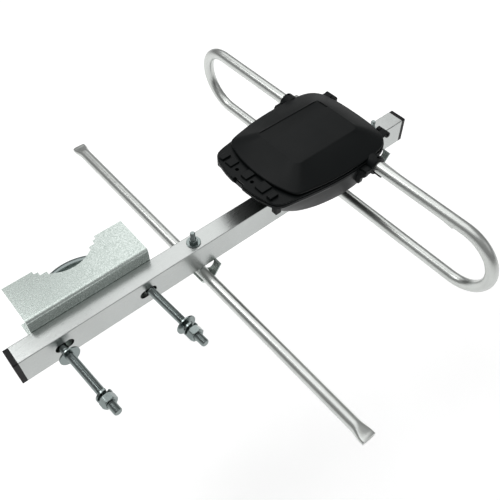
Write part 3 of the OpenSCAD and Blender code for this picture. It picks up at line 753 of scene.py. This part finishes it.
def half_collar(name, s, upper, body):
    """The part above or below the seam of the ring that holds the dipole's upper leg."""
    count = 32
    level = (RIM_LOW if upper else SEAM) - UPPER_Z
    root = 55.6 if upper else 53.6

    def arc(radius, y):
        lean = math.asin(level / radius)
        start, end = (lean, math.pi - lean) if upper else (math.pi - lean, 2 * math.pi + lean)
        angles = [start + (end - start) * k / count for k in range(count + 1)]
        return [(UPPER_X + radius * math.cos(a), s * y, UPPER_Z + radius * math.sin(a)) for a in angles]

    rings = []
    for y, grow in ((root, 0), (COLLAR_END - 0.8, 0), (COLLAR_END - 0.3, -0.25), (COLLAR_END, -0.9)):
        rings.append(arc(COLLAR_R + grow, y) + arc(PASSAGE_R, y)[::-1])
    obj = plain_mesh(name, *loft(rings))
    if upper:
        hole_z = (UPPER_Z + 5, UPPER_Z + 12)
        cut(obj, [drill(UPPER_X + 1, s * COLLAR_HOLE_Y, hole_z, COLLAR_HOLE_R, 20)])
    finish_piece(obj, "box_plastic", body, (), 35)


def barrel(name, y, bore, radius, body):
    """A hollow or solid round along the hinge, with eased ends."""
    centre = Vector((HINGE[0], y[0], HINGE[1]))
    axis, u, v = frame_on(Y_AXIS)
    length = y[1] - y[0]
    profile = [(radius - 0.3, 0), (radius, 0.3), (radius, length - 0.3), (radius - 0.3, length)]
    if bore:
        profile = [(bore, 0)] + profile + [(bore, length)]
    rings = [ring_about(centre + axis * t, u, v, r, 36) for r, t in profile]
    add_mesh(name, *loft(rings, closed=bool(bore)), "box_plastic", body, (), 35)


def build_shell():
    """The base's open tub, from its floor up to the seam and back down inside."""
    rise = BASE_RIM - FLOOR_TOP
    rings = [ray_ring(base_floor, FLOOR_TOP, 2.2), ray_ring(base_floor, FLOOR_TOP + 0.5, 0.9)]
    for share in (0.04, 0.25, 0.5, 0.75, 0.9, 0.985):
        bulge = 1.2 * math.sin(share * math.pi)
        rings.append(ray_ring(mix(base_floor, rim, share), FLOOR_TOP + rise * share, 0.5 * share - bulge))
    lip = ((BASE_RIM + 0.1, 0), (SEAM - 0.8, 0), (SEAM - 0.4, 0.3), (SEAM, 1.4), (SEAM, BASE_WALL))
    rings += [ray_ring(rim, z, d) for z, d in lip]
    for share in (0.95, 0.75, 0.5, 0.25, 0.03):
        height = FLOOR_TOP + BASE_FLOOR_WALL + rise * share
        rings.append(ray_ring(mix(base_floor, rim, share), height, BASE_WALL))
    obj = plain_mesh("junction_box_base", *loft(rings))
    bolt_hole = drill(DIPOLE_X, 0, (10, 30), BOLT_HOLE_R)
    cable_hole = drill(*CABLE_HOLE, (10, 30), CABLE_HOLE_R)
    cut(obj, [passage(), bolt_hole, cable_hole, notch()])
    finish_piece(obj, "box_plastic", "boom_body", ("box_base",), 30)


def build_base():
    build_shell()
    # radii and heights, up a post's side, over its top and down its pilot hole
    post = [(POST_R, POST_FOOT), (POST_R, SEAM - 0.2), (POST_R - 0.2, SEAM),
            (PILOT_R, SEAM), (PILOT_R, PILOT_FLOOR), (0.2, PILOT_FLOOR)]
    for i, (x, y) in enumerate(SCREW_WAYS):
        rings = [ring_about(Vector((x, y, z)), X_AXIS, Y_AXIS, r, 32) for r, z in post]
        add_mesh(f"screw_post_{i}", *loft(rings), "box_plastic", "boom_body", (), 35)
    for s, side in SIDES:
        half_collar("base_collar_" + side, s, False, "boom_body")
        box_piece("rim_post_" + side, (168.8, 175.3), (s * 37.2, s * 43.7), (43, 54), "boom_body")
        web_faces = [[(x, s * y, z) for y, z in GUSSET] for x in (262, 266.6)]
        web = plain_mesh("collar_gusset_" + side, *loft(web_faces))
        finish_piece(web, "box_plastic", "boom_body", (), 35, 0.6)
        box_piece("collar_foot_" + side, (263, 273), (s * 53.6, s * 65.7), (48.4, 54.9), "boom_body", 0.8)
        y = mirrored(s, EAR)
        inner_y = (y[0] + 0.05, y[1] - 0.05)
        barrel("base_ear_" + side, y, 0, HINGE_R, "boom_body")
        box_piece("base_ear_arm_" + side, (313.9, 320.1), inner_y, (48.6, HINGE[1]), "boom_body")
        box_piece("base_ear_foot_" + side, (306, HINGE[0]), inner_y, (48.6, 54.9), "boom_body")
        barrel("base_pin_" + side, mirrored(s, PIN), 0, PIN_R, "boom_body")
    rings = [ring_about(Vector((UPPER_X - 1, y, UPPER_Z - PEG_DROP)), X_AXIS, UP, r, 20) for y, r in PEG]
    add_mesh("base_peg", *loft(rings), "box_plastic", "boom_body", (), 35)


build_cover()
build_base()

# ---------- CAD pieces that stay, with their edges eased ----------

EASED = {"rear_end_cap": 0.5, "front_end_cap": 0.5, "mast_bracket": 0.3, "reflector_clip": 0.25,
         "dipole_clip": 0.25, "director_clip": 0.25, "matching_board": 0.2}
for name, width in EASED.items():
    soften(nodes[name], 30, width)

# ---------- stage ----------

FLOOR_Z, FLOOR_HALF = -0.30, 40.0
floor_mesh = bpy.data.meshes.new("floor")
corners = [(x * FLOOR_HALF, y * FLOOR_HALF, FLOOR_Z) for x, y in ((-1, -1), (1, -1), (1, 1), (-1, 1))]
floor_mesh.from_pydata(corners, [], [(0, 1, 2, 3)])
floor = bpy.data.objects.new("floor", floor_mesh)
bpy.context.scene.collection.objects.link(floor)
floor_material, _, floor_shader = new_material("floor_white")
floor_shader.inputs["Base Color"].default_value = (0.97, 0.97, 0.97, 1)
floor_shader.inputs["Roughness"].default_value = 0.9
floor_shader.inputs["Emission Color"].default_value = (1, 1, 1, 1)
floor_shader.inputs["Emission Strength"].default_value = 0.42
floor_mesh.materials.append(floor_material)

# ---------- camera ----------

CAMERA_PLACE = (-0.09517, -0.39035, 0.47460)
AZIMUTH, ELEVATION, ROLL = (math.radians(v) for v in (50.83, 51.06, 1.03))
along_floor = math.cos(ELEVATION)
forward = Vector((along_floor * math.cos(AZIMUTH), along_floor * math.sin(AZIMUTH), -math.sin(ELEVATION)))
level = Vector((math.sin(AZIMUTH), -math.cos(AZIMUTH), 0))
down = forward.cross(level)
right = math.cos(ROLL) * level + math.sin(ROLL) * down
down = -math.sin(ROLL) * level + math.cos(ROLL) * down
camera_data = bpy.data.cameras.new("camera")
camera_data.lens = 45.39
camera_data.sensor_width = 36
camera_data.shift_y = -0.0017
camera = bpy.data.objects.new("camera", camera_data)
bpy.context.scene.collection.objects.link(camera)
turn = Matrix((right, -down, -forward)).transposed().to_4x4()
camera.matrix_world = Matrix.Translation(CAMERA_PLACE) @ turn
bpy.context.scene.camera = camera

# ---------- light ----------


def soft_light(name, place, aim, size, power):
    """A rectangular light in one place, turned towards another."""
    data = bpy.data.lights.new(name, "AREA")
    data.shape = "RECTANGLE"
    data.size, data.size_y = size
    data.energy = power
    made = bpy.data.objects.new(name, data)
    bpy.context.scene.collection.objects.link(made)
    made.location = place
    made.rotation_euler = (Vector(aim) - Vector(place)).to_track_quat("-Z", "Y").to_euler()


MIDDLE, FRONT_HALF = (0.15, -0.06, 0), (0.2, -0.06, 0)
soft_light("key", (0.85, 0.75, 1.30), MIDDLE, (1.3, 1.1), 5.3)
soft_light("left", (-0.35, 0.72, 1.30), FRONT_HALF, (0.5, 0.5), 4.5)
soft_light("fill", (0.9, -1.3, 1.0), MIDDLE, (0.9, 0.7), 0.9)
soft_light("top", (0.0, 0.0, 2.2), MIDDLE, (1.9, 1.9), 11.5)

world = bpy.data.worlds.new("studio")
world.use_nodes = True
sky = world.node_tree.nodes["Background"]
sky_coords = world.node_tree.nodes.new("ShaderNodeTexCoord")
sky_parts = world.node_tree.nodes.new("ShaderNodeSeparateXYZ")
world.node_tree.links.new(sky_coords.outputs["Generated"], sky_parts.inputs["Vector"])
sky_tint = ramp(world.node_tree, sky_parts.outputs["Z"], [(0.0, 0.22), (0.35, 0.32), (0.75, 0.4)])
world.node_tree.links.new(sky_tint, sky.inputs["Color"])
sky.inputs["Strength"].default_value = 0.9
bpy.context.scene.world = world
bpy.context.scene.view_settings.view_transform = "Standard"
